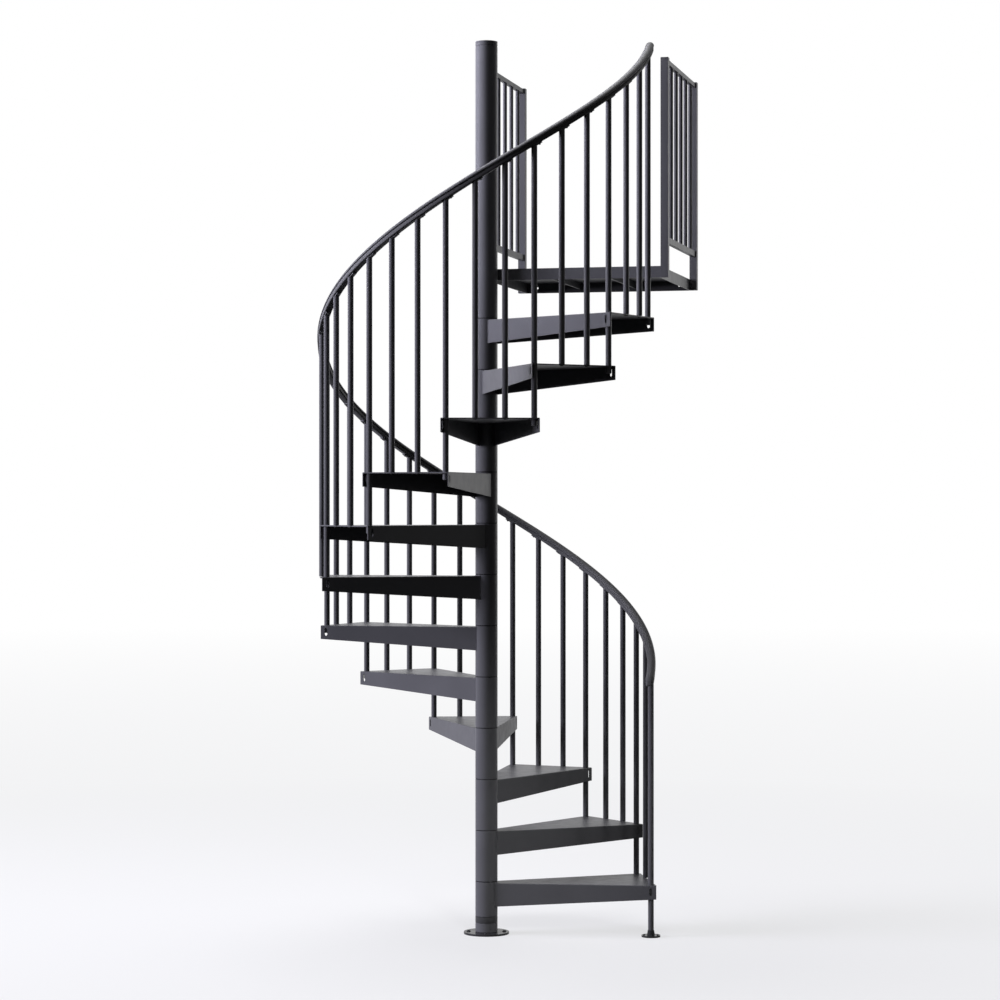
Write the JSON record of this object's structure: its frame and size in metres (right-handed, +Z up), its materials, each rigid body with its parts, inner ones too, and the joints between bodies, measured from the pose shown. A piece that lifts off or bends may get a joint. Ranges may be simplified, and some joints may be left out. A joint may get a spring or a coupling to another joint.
{
  "type": "spiral staircase",
  "caption": "Steel spiral staircase: folded treads on a central column, round balusters, a helical handrail and a square landing with side guards.",
  "frame": {"origin": "middle of the base plate's underside, on the column's axis", "axes": "+Z up along the column; +X along the landing's front edge, +Y back to the upper floor"},
  "size_m": [1.5794, 1.593, 3.9927],
  "materials": {
    "black_coat": "satin black powder coat",
    "rail_grip": "satin dark grey rail cover"
  },
  "bodies": {
    "root": {"base_plate": "black_coat", "base_collar": "black_coat", "base_spacer": "black_coat", "center_pole": "black_coat", "tread_01": "black_coat", "tread_02": "black_coat", "tread_03": "black_coat", "tread_04": "black_coat", "tread_05": "black_coat", "tread_06": "black_coat", "tread_07": "black_coat", "tread_08": "black_coat", "tread_09": "black_coat", "tread_10": "black_coat", "tread_11": "black_coat", "tread_12": "black_coat", "upper_column": "black_coat", "column_cap": "black_coat", "landing_deck": "black_coat", "landing_braces": "black_coat", "newel_post": "black_coat", "newel_foot": "black_coat", "balusters_01": "black_coat", "balusters_02": "black_coat", "balusters_03": "black_coat", "balusters_04": "black_coat", "balusters_05": "black_coat", "balusters_06": "black_coat", "balusters_07": "black_coat", "balusters_08": "black_coat", "balusters_09": "black_coat", "balusters_10": "black_coat", "balusters_11": "black_coat", "balusters_12": "black_coat", "handrail": "rail_grip", "right_near_post": "black_coat", "right_far_post": "black_coat", "right_guard_panel": "black_coat", "left_far_post": "black_coat", "left_guard_panel": "black_coat"}
  },
  "joints": []
}
